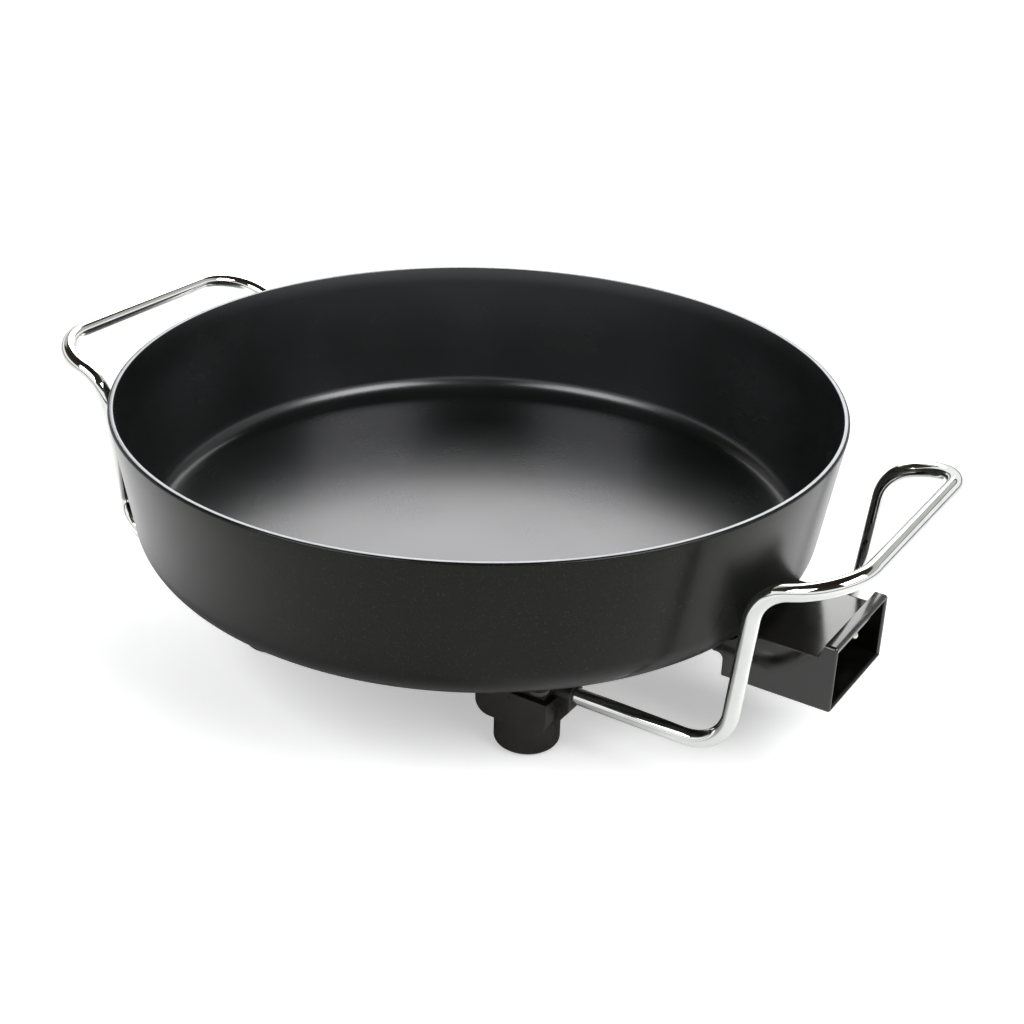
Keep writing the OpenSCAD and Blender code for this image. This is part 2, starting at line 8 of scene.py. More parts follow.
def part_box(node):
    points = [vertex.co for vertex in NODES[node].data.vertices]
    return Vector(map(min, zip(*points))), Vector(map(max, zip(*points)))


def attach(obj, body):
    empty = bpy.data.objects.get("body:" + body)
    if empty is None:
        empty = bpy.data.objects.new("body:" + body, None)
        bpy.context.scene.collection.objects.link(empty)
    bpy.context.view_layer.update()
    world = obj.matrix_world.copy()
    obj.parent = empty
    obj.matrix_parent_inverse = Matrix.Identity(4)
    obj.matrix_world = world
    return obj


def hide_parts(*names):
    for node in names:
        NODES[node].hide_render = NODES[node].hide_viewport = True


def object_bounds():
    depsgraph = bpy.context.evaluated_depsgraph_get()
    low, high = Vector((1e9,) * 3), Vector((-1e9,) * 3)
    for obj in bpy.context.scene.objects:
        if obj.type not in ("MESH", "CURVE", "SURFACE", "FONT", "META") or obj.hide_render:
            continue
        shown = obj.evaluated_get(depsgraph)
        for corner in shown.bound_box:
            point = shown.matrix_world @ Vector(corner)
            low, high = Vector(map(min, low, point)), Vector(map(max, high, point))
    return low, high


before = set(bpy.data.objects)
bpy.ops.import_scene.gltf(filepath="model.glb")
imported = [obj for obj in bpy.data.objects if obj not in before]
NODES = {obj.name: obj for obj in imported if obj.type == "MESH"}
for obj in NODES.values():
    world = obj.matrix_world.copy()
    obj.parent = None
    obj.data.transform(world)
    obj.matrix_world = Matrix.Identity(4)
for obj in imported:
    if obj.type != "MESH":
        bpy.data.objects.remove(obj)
CAD_BOX = [list(corner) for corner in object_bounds()]

MM = 0.001

# Sizes of the solids, in millimetres
RIM_R, RIM_Z, BASE_Z = 167.3, 128.0, 56.0
WALL_LEAN, WALL_T, BASE_T = 11.0, 2.8, 4.7
OUTER_EDGE_R, INNER_EDGE_R = 22.0, 10.0
WALL_DEG = math.degrees(math.atan2(RIM_Z - BASE_Z, WALL_LEAN))
FLAT_R = RIM_R - WALL_LEAN - OUTER_EDGE_R * math.tan(math.radians(WALL_DEG / 2))
ELEMENT_R = FLAT_R - 17.0
FOOT_R, FOOT_DEG = ELEMENT_R - 22.7, 42.9
FOOT_X, FOOT_Y = FOOT_R * math.cos(math.radians(FOOT_DEG)), FOOT_R * math.sin(math.radians(FOOT_DEG))
WIRE_D, RUN_Z = 7.4, 32.0
CORNERS = {"front_right": (1, -1), "front_left": (-1, -1), "back_right": (1, 1), "back_left": (-1, 1)}

# Camera: the pan's centre seen from the front right, a little from above
VIEW_TURN, VIEW_DOWN, VIEW_ROLL = math.radians(31.977), math.radians(27.262), math.radians(1.783)
CAMERA_PLACE = Vector((0.39284, -0.59906, 0.43316))
LENS_MM = 59.62


# ---------------------------------------------------------------- camera, floor and light

def make_camera():
    right = Vector((math.cos(VIEW_TURN), math.sin(VIEW_TURN), 0))
    ahead = Vector((-math.sin(VIEW_TURN), math.cos(VIEW_TURN), 0))
    forward = ahead * math.cos(VIEW_DOWN) - Vector((0, 0, math.sin(VIEW_DOWN)))
    down = right.cross(forward) * -1
    side = right * math.cos(VIEW_ROLL) - down * math.sin(VIEW_ROLL)
    up = -(right * math.sin(VIEW_ROLL) + down * math.cos(VIEW_ROLL))
    data = bpy.data.cameras.new("camera")
    data.lens, data.sensor_width = LENS_MM, 36.0
    data.clip_start, data.clip_end = 0.01, 50.0
    camera = bpy.data.objects.new("camera", data)
    turn = Matrix((side, up, -forward)).transposed().to_4x4()
    camera.matrix_world = Matrix.Translation(CAMERA_PLACE) @ turn
    bpy.context.scene.collection.objects.link(camera)
    bpy.context.scene.camera = camera
    bpy.context.scene.view_settings.view_transform = "Standard"


def hex_rgba(code):
    """An sRGB hex colour as a linear one."""
    values = [int(code[i:i + 2], 16) / 255 for i in (1, 3, 5)]
    linear = [v / 12.92 if v <= 0.04045 else ((v + 0.055) / 1.055) ** 2.4 for v in values]
    return (*linear, 1.0)


def add(tree, kind, sockets=None, **settings):
    """Adds a node, sets its settings, and gives each named socket a value or a link."""
    node = tree.nodes.new(kind)
    for name, value in settings.items():
        setattr(node, name, value)
    for key, value in (sockets or {}).items():
        if isinstance(value, bpy.types.NodeSocket):
            tree.links.new(value, node.inputs[key])
        else:
            node.inputs[key].default_value = value
    return node


def maths(tree, operation, *values):
    """A Math node's result."""
    return add(tree, "ShaderNodeMath", dict(enumerate(values)), operation=operation).outputs[0]


def between(tree, value, low, high, out_low=0.0, out_high=1.0, kind="LINEAR"):
    """Turns a value from one range to another, straight or with soft ends."""
    sockets = {"Value": value, "From Min": low, "From Max": high, "To Min": out_low, "To Max": out_high}
    return add(tree, "ShaderNodeMapRange", sockets, interpolation_type=kind).outputs[0]


def colour_mix(tree, amount, first, second):
    """A colour between two others. Each can be a colour or a link."""
    mix = add(tree, "ShaderNodeMix", {"Factor": amount}, data_type="RGBA")
    for socket, value in ((mix.inputs[6], first), (mix.inputs[7], second)):
        if isinstance(value, bpy.types.NodeSocket):
            tree.links.new(value, socket)
        else:
            socket.default_value = value
    return mix.outputs[2]


# What reflections show round the object: the table's edge, the ceiling, and the gap over the white cove
SEAM, CEILING, GAP = "#4a453f", "#231f1b", "#3d352d"


def colour_ramp(tree, value, middle):
    """A ramp from the seam's colour to the ceiling's, with the given stops between them."""
    ramp = add(tree, "ShaderNodeValToRGB", {0: value})
    stops = ramp.color_ramp.elements
    stops[0].color, stops[1].color = hex_rgba(SEAM), hex_rgba(CEILING)
    for at, code in middle:
        stops.new(at).color = hex_rgba(code)
    return ramp.outputs[0]


# Strength of the even light, and the sine of the elevation where the white cove ends
SKY, COVE_TOP = 0.1, 0.40


def make_world():
    world = bpy.data.worlds.new("studio")
    bpy.context.scene.world = world
    world.use_nodes = True
    tree = world.node_tree
    tree.nodes.clear()
    rays = add(tree, "ShaderNodeLightPath").outputs
    seen = maths(tree, "MAXIMUM", rays["Is Camera Ray"], rays["Is Glossy Ray"])
    seen = maths(tree, "MAXIMUM", seen, rays["Is Transmission Ray"])
    soft = add(tree, "ShaderNodeBackground", {"Color": hex_rgba("#f7f8ff"), "Strength": SKY})
    # Reflections show a white cove between a dark seam at the table's edge and a dark warm ceiling.
    # Behind the object a grey flat stands above the cove, with a dark gap between them
    facing = add(tree, "ShaderNodeTexCoord").outputs["Generated"]
    towards = add(tree, "ShaderNodeSeparateXYZ", {0: facing}).outputs
    cove = [(0.03, SEAM), (0.045, "#ffffff"), (COVE_TOP - 0.02, "#ffffff"), (COVE_TOP, GAP)]
    flat = [(COVE_TOP + 0.025, GAP), (COVE_TOP + 0.035, "#c9c9c6"), (0.68, "#b3b3b0"), (0.72, GAP)]
    front, back = colour_ramp(tree, towards[2], cove), colour_ramp(tree, towards[2], cove + flat)
    around = colour_mix(tree, between(tree, towards[1], 0.05, 0.15), front, back)
    shown = colour_mix(tree, rays["Is Camera Ray"], around, (1, 1, 1, 1))
    white = add(tree, "ShaderNodeBackground", {"Color": shown, "Strength": 1.0})
    mix = add(tree, "ShaderNodeMixShader", {0: seen, 1: soft.outputs[0], 2: white.outputs[0]})
    add(tree, "ShaderNodeOutputWorld", {"Surface": mix.outputs[0]})


def make_softbox(name, place, target, size, radiance):
    """A white area light that no camera ray sees, in metres and watts per square metre and steradian."""
    data = bpy.data.lights.new(name, "AREA")
    data.shape, data.size, data.size_y = "RECTANGLE", size[0], size[1]
    data.energy = radiance * math.pi * size[0] * size[1]
    box = bpy.data.objects.new(name, data)
    box.location = place
    box.rotation_euler = (Vector(target) - Vector(place)).to_track_quat("-Z", "Y").to_euler()
    box.visible_camera = False
    bpy.context.scene.collection.objects.link(box)


# Distances from the pan's centre on the table, in metres: the pan's edge and clear of the pan, and
# where the table's glow in reflections starts to fade and where it ends
PAN_EDGE, PAN_CLEAR = 0.17, 0.25
GLOW_FADES, GLOW_ENDS = 0.34, 0.42
TABLE_REACH, TABLE_DROP = 6.0, 0.0001


def make_floor():
    mesh = bpy.data.meshes.new("floor")
    corners = [(x * TABLE_REACH, y * TABLE_REACH, 0) for x, y in ((-1, -1), (1, -1), (1, 1), (-1, 1))]
    mesh.from_pydata(corners, [], [(0, 1, 2, 3)])
    floor = bpy.data.objects.new("floor", mesh)
    floor.location.z = CAD_BOX[0][2] - TABLE_DROP
    bpy.context.scene.collection.objects.link(floor)
    material = bpy.data.materials.new("white_laminate_table")
    material.use_nodes = True
    tree = material.node_tree
    tree.nodes.clear()
    rays = add(tree, "ShaderNodeLightPath").outputs
    place = add(tree, "ShaderNodeTexCoord").outputs["Object"]
    away = add(tree, "ShaderNodeVectorMath", {0: place}, operation="LENGTH").outputs["Value"]
    across = add(tree, "ShaderNodeSeparateXYZ", {0: place}).outputs[0]
    forward = (math.sin(VIEW_TURN), -math.cos(VIEW_TURN), 0)
    nearer = add(tree, "ShaderNodeVectorMath", {0: place, 1: forward},
                 operation="DOT_PRODUCT").outputs["Value"]
    # In reflections the table glows close behind and beside the pan
    behind = between(tree, nearer, -0.05, 0.25, 0.8, 0.0, "SMOOTHSTEP")
    beside = between(tree, away, PAN_EDGE, PAN_CLEAR, kind="SMOOTHSTEP")
    close = between(tree, away, GLOW_FADES, GLOW_ENDS, 1.0, 0.1, "SMOOTHSTEP")
    shine = maths(tree, "MULTIPLY", behind, maths(tree, "MULTIPLY", beside, close))
    mirrored = maths(tree, "MULTIPLY", rays["Is Glossy Ray"], shine)
    # For the camera it turns white away from the pan, and keeps the shadow close to it
    whiter = between(tree, away, 0.5, 1.6, 0.45, 1.0)
    lift = maths(tree, "MULTIPLY_ADD", rays["Is Camera Ray"], whiter, mirrored)
    # In reflections it has a painted shadow under the pan: its colour turns dark there, but for the socket's
    # side
    under = between(tree, away, PAN_EDGE, PAN_CLEAR, 0.55, 0.0, "SMOOTHSTEP")
    leftwards = between(tree, across, 0.085, 0.125, 1.0, 0.0)
    painted_shadow = maths(tree, "MULTIPLY", maths(tree, "MULTIPLY", under, leftwards), rays["Is Glossy Ray"])
    tone = colour_mix(tree, painted_shadow, hex_rgba("#f2f2f2"), hex_rgba("#1a1a1a"))
    matt = add(tree, "ShaderNodeBsdfDiffuse", {"Color": tone})
    glow = add(tree, "ShaderNodeEmission", {"Color": (1, 1, 1, 1), "Strength": lift})
    both = add(tree, "ShaderNodeAddShader", {0: matt.outputs[0], 1: glow.outputs[0]})
    add(tree, "ShaderNodeOutputMaterial", {"Surface": both.outputs[0]})
    mesh.materials.append(material)


make_camera()
make_world()
make_floor()
# The back softbox shines on the pan's floor, and the front ones on its wall at both sides
make_softbox("back_softbox", place=(-0.70, 1.163, 1.0), target=(0, 0, 0.1), size=(1.15, 0.9), radiance=3.8)
make_softbox("front_right_softbox", place=(1.11, -0.09, 1.06), target=(0, 0, 0.06), size=(0.95, 0.7),
             radiance=7.8)
make_softbox("front_left_softbox", place=(-0.29, -1.08, 1.06), target=(0, 0, 0.06), size=(0.9, 0.7),
             radiance=6.3)


# ---------------------------------------------------------------- materials

def new_material(name, **sockets):
    """A material with one Principled shader and the given values in its sockets.
    Returns the material, its tree, its shader and Object coordinates."""
    material = bpy.data.materials.new(name)
    material.use_nodes = True
    tree = material.node_tree
    shader = tree.nodes["Principled BSDF"]
    for key, value in sockets.items():
        shader.inputs[key.replace("_", " ")].default_value = value
    place = add(tree, "ShaderNodeTexCoord").outputs["Object"]
    return material, tree, shader, place


def noise_of(tree, place, size_mm, detail=2.0, stretch=(1, 1, 1)):
    """Noise whose blobs are about size_mm across."""
    scaled = add(tree, "ShaderNodeMapping", {"Vector": place, "Scale": [s / (size_mm * MM) for s in stretch]})
    return add(tree, "ShaderNodeTexNoise", {"Vector": scaled.outputs[0], "Scale": 1.0, "Detail": detail})


def turning_rings(tree, place, apart_mm, detail):
    """Noise in rings round Z, about apart_mm wide, as a lathe tool leaves them."""
    split = add(tree, "ShaderNodeSeparateXYZ", {0: place}).outputs
    flat = add(tree, "ShaderNodeCombineXYZ", {0: split[0], 1: split[1]}).outputs[0]
    radius = add(tree, "ShaderNodeVectorMath", {0: flat}, operation="LENGTH").outputs["Value"]
    along = maths(tree, "MULTIPLY", radius, 1 / (apart_mm * MM))
    return add(tree, "ShaderNodeTexNoise", {"W": along, "Scale": 1.0, "Detail": detail},
               noise_dimensions="1D").outputs[0]


def bump(tree, shader, height, depth_mm, strength):
    made = add(tree, "ShaderNodeBump", {"Height": height, "Distance": depth_mm * MM, "Strength": strength})
    tree.links.new(made.outputs[0], shader.inputs["Normal"])


def colour_by(tree, shader, amount, low, high):
    """Gives the shader a base colour between two hex colours."""
    tree.links.new(colour_mix(tree, amount, hex_rgba(low), hex_rgba(high)), shader.inputs["Base Color"])


def charcoal_silicone_coating():
    # Sprayed silicone coating on cast aluminium: matt, with a fine grain of overspray and pale flecks
    material, tree, shader, place = new_material("sprayed_silicone_coating_charcoal", IOR=1.45,
                                                 Specular_IOR_Level=0.28, Specular_Tint=hex_rgba("#fbfcf4"))
    # Grain and flecks 0.9 mm wide, clouds 60 mm wide and three times as tall
    grain = noise_of(tree, place, 0.9, 3.0).outputs[0]
    fleck = noise_of(tree, place, 0.9, 0.0).outputs[0]
    cloud = noise_of(tree, place, 60.0, 3.0, (1, 1, 0.35)).outputs[0]
    dark = colour_mix(tree, between(tree, cloud, 0.35, 0.65), hex_rgba("#090a09"), hex_rgba("#0f110f"))
    flecked = colour_mix(tree, between(tree, fleck, 0.68, 0.8, 0, 0.1), dark, hex_rgba("#565a5c"))
    tree.links.new(flecked, shader.inputs["Base Color"])
    tree.links.new(between(tree, cloud, 0.3, 0.7, 0.22, 0.28), shader.inputs["Roughness"])
    bump(tree, shader, grain, 0.03, 0.3)
    return material


def satin_non_stick():
    # PTFE sprayed on a turned floor: black, satin, with a slight orange peel and faint turning rings
    material, tree, shader, place = new_material("ptfe_non_stick_satin_black", IOR=1.45,
                                                 Specular_IOR_Level=1.0, Specular_Tint=hex_rgba("#f8f7fc"))
    # Rings 2 mm apart, peel 1.6 mm wide, clouds 45 mm wide
    ring = turning_rings(tree, place, 2.0, 1.0)
    peel = noise_of(tree, place, 1.6, 3.0).outputs[0]
    cloud = noise_of(tree, place, 45.0, 3.0).outputs[0]
    colour_by(tree, shader, between(tree, cloud, 0.3, 0.7), "#0d100f", "#131615")
    rough = maths(tree, "ADD", between(tree, cloud, 0.3, 0.7, 0.25, 0.28),
                  between(tree, ring, 0.3, 0.7, -0.003, 0.003))
    tree.links.new(rough, shader.inputs["Roughness"])
    bump(tree, shader, peel, 0.012, 0.2)
    return material


def turned_aluminium():
    # Bare rim left bright by the lathe tool, with rings 0.4 mm apart and clouds 12 mm wide
    material, tree, shader, place = new_material("turned_aluminium_bare", Metallic=1.0)
    ring = turning_rings(tree, place, 0.4, 2.0)
    cloud = noise_of(tree, place, 12.0, 3.0).outputs[0]
    colour_by(tree, shader, between(tree, cloud, 0.3, 0.7), "#6c6e71", "#787a7d")
    tree.links.new(between(tree, ring, 0.25, 0.75, 0.2, 0.36), shader.inputs["Roughness"])
    bump(tree, shader, ring, 0.01, 0.4)
    return material


def metal(name, low, high, rough_low, rough_high, cloud_mm, stretch=(1, 1, 1), grain_mm=0.0):
    """A metal whose colour and roughness wander a little, with grain where it has one."""
    material, tree, shader, place = new_material(name, Metallic=1.0)
    cloud = noise_of(tree, place, cloud_mm, 3.0, stretch).outputs[0]
    colour_by(tree, shader, between(tree, cloud, 0.3, 0.7), low, high)
    tree.links.new(between(tree, cloud, 0.3, 0.7, rough_low, rough_high), shader.inputs["Roughness"])
    if grain_mm:
        bump(tree, shader, noise_of(tree, place, grain_mm, 2.0, stretch).outputs[0], 0.01, 0.5)
    return material


def plastic(name, low, high, rough_low, rough_high, ior, cloud_mm, grain_mm, depth_mm, strength, level=0.5):
    """A moulded or fired piece whose gloss wanders over clouds cloud_mm wide, with a fine skin."""
    material, tree, shader, place = new_material(name, IOR=ior, Specular_IOR_Level=level)
    cloud = noise_of(tree, place, cloud_mm, 3.0).outputs[0]
    colour_by(tree, shader, between(tree, cloud, 0.3, 0.7), low, high)
    tree.links.new(between(tree, cloud, 0.3, 0.7, rough_low, rough_high), shader.inputs["Roughness"])
    bump(tree, shader, noise_of(tree, place, grain_mm, 2.0).outputs[0], depth_mm, strength)
    return material


PHENOLIC_IOR = 1.56
COATING = charcoal_silicone_coating()
NON_STICK = satin_non_stick()
RIM = turned_aluminium()
# Bright chromium plate on drawn steel wire: nearly a mirror, with a faint wipe of handling
CHROME = metal("chromium_plate_on_steel_wire", "#e4e6e3", "#f0f1ee", 0.035, 0.07, 14.0)
# Phenolic moulding, semi-gloss brown-black: resin skin over wood flour
FOOT = plastic("phenolic_moulding_semi_gloss_brown_black", "#1a1714", "#24201d", 0.26, 0.4, PHENOLIC_IOR,
               9.0, 0.5, 0.03, 0.35)
SADDLE = plastic("phenolic_moulding_matt_black", "#11100f", "#181615", 0.42, 0.55, PHENOLIC_IOR,
                 9.0, 0.5, 0.04, 0.5)
# Phenolic moulding from a polished mould: deep gloss with a slight waviness, and dull inside, where its
# darker colour and weaker reflection are painted shade
SHROUD = plastic("phenolic_moulding_gloss_black", "#0e0e0b", "#161511", 0.1, 0.17, PHENOLIC_IOR,
                 16.0, 3.0, 0.02, 0.25, level=0.65)
SHROUD_INSIDE = plastic("phenolic_moulding_dull_inside", "#050505", "#090908", 0.3, 0.4, PHENOLIC_IOR,
                        9.0, 0.6, 0.03, 0.4, level=0.15)
RUBBER = plastic("silicone_rubber_matt_grey", "#343434", "#404040", 0.62, 0.8, 1.41, 5.0, 0.4, 0.04, 0.6)
ZINC = metal("zinc_plated_steel", "#a9adb2", "#c6c9cc", 0.24, 0.38, 2.5, grain_mm=0.3)
# The same zinc plate, dulled and browned by the heat beside the element
TINTED_ZINC = metal("zinc_plated_steel_heat_dulled", "#3b3733", "#57524c", 0.4, 0.55, 2.5, grain_mm=0.3)
SHEATH = metal("nickel_alloy_sheath_heat_tinted", "#5d564e", "#837f78", 0.38, 0.55, 9.0, grain_mm=0.5)
SHEET = metal("aluminium_sheet_rolled", "#a8abad", "#c3c5c7", 0.3, 0.42, 7.0, (0.15, 1, 1), 0.4)
# The same sheet beside the element, greyed by its heat
DULL_SHEET = metal("aluminium_sheet_heat_greyed", "#4b4946", "#5e5c58", 0.5, 0.65, 7.0, grain_mm=0.4)
NICKEL = metal("nickel_plated_brass", "#c8c3b6", "#ded9cc", 0.12, 0.22, 3.0)
TUBE = metal("stainless_steel_tube_drawn", "#b4b6b8", "#cdcfd0", 0.18, 0.3, 4.0, (0.1, 1, 1), 0.3)
BRASS = metal("spring_brass_satin", "#b8924a", "#cfae66", 0.26, 0.38, 4.0, (0.2, 1, 1), 0.4)
# Unglazed steatite: chalky off-white
STEATITE = plastic("steatite_unglazed", "#d8d2c2", "#e9e4d7", 0.55, 0.7, 1.55, 3.0, 0.35, 0.03, 0.5)


# ---------------------------------------------------------------- making pieces

def link(piece):
    bpy.context.scene.collection.objects.link(piece)
    return piece


def mesh_piece(name, bm, materials, sharp_deg=35.0):
    """Finishes a bmesh as a piece at the origin, smooth but for its sharp edges."""
    mesh = bpy.data.meshes.new(name)
    bm.to_mesh(mesh)
    bm.free()
    for material in materials:
        mesh.materials.append(material)
    mesh.shade_smooth()
    mesh.set_sharp_from_angle(angle=math.radians(sharp_deg))
    return link(bpy.data.objects.new(name, mesh))


def settle(piece):
    """Turns a piece's modifiers into its plain mesh."""
    graph = bpy.context.evaluated_depsgraph_get()
    mesh = bpy.data.meshes.new_from_object(piece.evaluated_get(graph), preserve_all_data_layers=True,
                                           depsgraph=graph)
    piece.modifiers.clear()
    old, piece.data = piece.data, mesh
    mesh.name = piece.name
    if old.users == 0:
        bpy.data.meshes.remove(old)
    return piece


def hand_in(piece, slot, *nodes):
    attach(piece, "root")
    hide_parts(*nodes)


def solid_of(node):
    """A node's solid with its shared points merged and one material."""
    bm = bmesh.new()
    bm.from_mesh(NODES[node].data)
    bmesh.ops.remove_doubles(bm, verts=bm.verts, dist=2e-6)
    for face in bm.faces:
        face.material_index = 0
    return bm


def arc(centre, radius, start_deg, end_deg, steps):
    """Points of an arc in a profile, both ends included."""
    angles = [math.radians(start_deg + (end_deg - start_deg) * i / steps) for i in range(steps + 1)]
    return [(centre[0] + radius * math.cos(a), centre[1] + radius * math.sin(a)) for a in angles]


def polygon_reach(angle, sides):
    """How far a regular polygon reaches at an angle, as a share of its corners' radius."""
    step = 2 * math.pi / sides
    return math.cos(step / 2) / math.cos(angle % step - step / 2)


def lathe(bm, profile, segments, matrix=None, material_of=None):
    """Revolves a profile of (radius, height) points in millimetres round Z, closing its poles.
    A third number in a point gives that ring this many flat sides."""
    rings = []
    for radius, height, *sides in profile:
        if radius < 1e-6:
            rings.append([bm.verts.new((0, 0, height * MM))])
            continue
        ring = []
        for i in range(segments):
            angle = 2 * math.pi * i / segments
            reach = radius * MM * (polygon_reach(angle, sides[0]) if sides else 1)
            ring.append(bm.verts.new((reach * math.cos(angle), reach * math.sin(angle), height * MM)))
        rings.append(ring)
    for index, (low, high) in enumerate(zip(rings, rings[1:])):
        for i in range(segments):
            j = (i + 1) % segments
            corners = [low[i % len(low)], low[j % len(low)], high[j % len(high)], high[i % len(high)]]
            corners = list(dict.fromkeys(corners))
            face = bm.faces.new(corners)
            if material_of:
                face.material_index = material_of(index)
    if matrix is not None:
        bmesh.ops.transform(bm, matrix=matrix, verts=[v for ring in rings for v in ring])


def softened(name, node, materials, width_mm, segments=2, sharp_deg=30.0, rounders=()):
    """A copy of a node's solid with its sharp edges rounded, as a mould or a press leaves them.
    Each of the rounders is a width and a test that picks the edges that get it first."""
    bm = solid_of(node)
    bmesh.ops.dissolve_degenerate(bm, edges=bm.edges, dist=2e-6)
    bmesh.ops.dissolve_limit(bm, angle_limit=math.radians(0.5), verts=bm.verts, edges=bm.edges)
    for width, wanted in rounders:
        picked = [e for e in bm.edges if e.calc_face_angle(0) > math.radians(sharp_deg) and wanted(e)]
        bmesh.ops.bevel(bm, geom=picked, offset=width * MM, offset_type="OFFSET", segments=5, profile=0.5,
                        affect="EDGES", clamp_overlap=False)
    piece = mesh_piece(name, bm, materials, sharp_deg)
    rounding = piece.modifiers.new("rounding", "BEVEL")
    rounding.width, rounding.segments = width_mm * MM, segments
    rounding.limit_method, rounding.angle_limit = "ANGLE", math.radians(sharp_deg)
    rounding.use_clamp_overlap, rounding.harden_normals = True, True
    return settle(piece)


# ---------------------------------------------------------------- the pan

def on_turned_shell(face):
    """Whether a face of the pan's solid belongs to its turned shell, not to what lies below it."""
    middle = face.calc_center_median()
    radius = math.hypot(middle.x, middle.y)
    # From the centre of the bend between the flat underside and the wall
    out, up = radius - FLAT_R * MM, middle.z - (BASE_Z + OUTER_EDGE_R) * MM
    reach = math.hypot(out, up)
    facing = face.normal.dot(Vector((middle.x / radius * out, middle.y / radius * out, up)) / reach)
    on_bend = out > 0 and abs(reach - OUTER_EDGE_R * MM) < 0.25 * MM and facing > 0.9
    return on_bend or middle.z > (BASE_Z + BASE_T - 0.1) * MM


def make_pan():
    lean = WALL_LEAN / (RIM_Z - BASE_Z)
    cut = math.tan(math.radians(WALL_DEG / 2))
    base_r = RIM_R - WALL_LEAN
    floor_z = BASE_Z + BASE_T
    floor_r = base_r + BASE_T * lean - WALL_T / math.sin(math.radians(WALL_DEG))
    inner_flat_r = floor_r - INNER_EDGE_R * cut
    inner_top_r = floor_r + (RIM_Z - floor_z) * lean
    # The rim's top is turned bare, between rounded edges that keep their coatings
    outer, soft = 1.1, 0.4
    outside = [(FLAT_R, BASE_Z)]
    outside += arc((FLAT_R, BASE_Z + OUTER_EDGE_R), OUTER_EDGE_R, -90, WALL_DEG - 90, 18)[1:]
    outside += [(base_r + (z - BASE_Z) * lean, z) for z in (86, 101, 116)]
    outside += arc((RIM_R - outer - outer * lean, RIM_Z - outer), outer, WALL_DEG - 90, 84, 8)
    rim = [(RIM_R - outer - outer * lean + 0.04, RIM_Z), (inner_top_r + soft, RIM_Z)]
    inside = arc((inner_top_r + soft, RIM_Z - soft), soft, 90, 90 + WALL_DEG, 4)[1:]
    inside += [(floor_r + (z - floor_z) * lean, z) for z in (120, 105, 90)]
    inside += arc((inner_flat_r, floor_z + INNER_EDGE_R), INNER_EDGE_R, WALL_DEG - 90, -90, 20)
    inside += [(r, floor_z) for r in (120, 100, 75, 50, 25, 0)]
    profile = outside + rim + inside
    edges = (len(outside) - 1, len(outside) + len(rim) - 1)
    bm = bmesh.new()
    lathe(bm, profile, 360, material_of=lambda i: 0 if i < edges[0] else 1 if i < edges[1] else 2)
    bmesh.ops.recalc_face_normals(bm, faces=bm.faces)
    if max(bm.faces, key=lambda f: f.calc_center_median().z).normal.z < 0:
        bmesh.ops.reverse_faces(bm, faces=bm.faces)

    # The ribs, lugs and blocks below the flat underside, from the node's own solid
    under = solid_of("pan")
    bmesh.ops.delete(under, geom=[f for f in under.faces if on_turned_shell(f)], context="FACES")
    extra = bpy.data.meshes.new("pan_under")
    under.to_mesh(extra)
    under.free()
    bm.from_mesh(extra)
    bpy.data.meshes.remove(extra)
    pan = mesh_piece("pan_casting", bm, [COATING, RIM, NON_STICK], 40)
    hand_in(pan, "pan_coating", "pan")


make_pan()


# ---------------------------------------------------------------- bent bars

def bent_bar_tree():
    """Geometry Nodes that turn a line with a bend radius at each corner into a round bar."""
    tree = bpy.data.node_groups.new("bent_bar", "GeometryNodeTree")
    face = tree.interface
    face.new_socket("Line", in_out="INPUT", socket_type="NodeSocketGeometry")
    for name, kind, value in (("Diameter", "NodeSocketFloat", 0.0074), ("Sides", "NodeSocketInt", 32),
                              ("Bend steps", "NodeSocketInt", 20), ("Has bends", "NodeSocketBool", True),
                              ("Material", "NodeSocketMaterial", None)):
        socket = face.new_socket(name, in_out="INPUT", socket_type=kind)
        if value is not None:
            socket.default_value = value
    face.new_socket("Bar", in_out="OUTPUT", socket_type="NodeSocketGeometry")
    given = tree.nodes.new("NodeGroupInput").outputs
    radius = add(tree, "GeometryNodeInputNamedAttribute", {"Name": "bend_radius"}, data_type="FLOAT")
    line = add(tree, "GeometryNodeMeshToCurve", {"Mesh": given["Line"]})
    bent = add(tree, "GeometryNodeFilletCurve", {"Curve": line.outputs[0], "Count": given["Bend steps"],
                                                 "Radius": radius.outputs[0]}, mode="POLY")
    path = add(tree, "GeometryNodeSwitch", {"Switch": given["Has bends"], "False": line.outputs[0],
                                            "True": bent.outputs[0]}, input_type="GEOMETRY")
    half = add(tree, "ShaderNodeMath", {0: given["Diameter"], 1: 0.5}, operation="MULTIPLY")
    ring = add(tree, "GeometryNodeCurvePrimitiveCircle", {"Resolution": given["Sides"],
                                                          "Radius": half.outputs[0]})
    bar = add(tree, "GeometryNodeCurveToMesh", {"Curve": path.outputs[0], "Profile Curve": ring.outputs[0],
                                                "Fill Caps": True})
    smooth = add(tree, "GeometryNodeSetShadeSmooth", {"Geometry": bar.outputs[0]})
    whole = add(tree, "GeometryNodeRealizeInstances", {"Geometry": smooth.outputs[0]})
    done = add(tree, "GeometryNodeSetMaterial", {"Geometry": whole.outputs[0], "Material": given["Material"]})
    add(tree, "NodeGroupOutput", {"Bar": done.outputs[0]})
    return tree


BENT_BAR = bent_bar_tree()


def set_inputs(modifier, tree, **values):
    """Sets a modifier's inputs by their sockets' identifiers."""
    for item in tree.interface.items_tree:
        key = item.name.replace(" ", "_")
        if item.item_type == "SOCKET" and item.in_out == "INPUT" and key in values:
            modifier[item.identifier] = values[key]


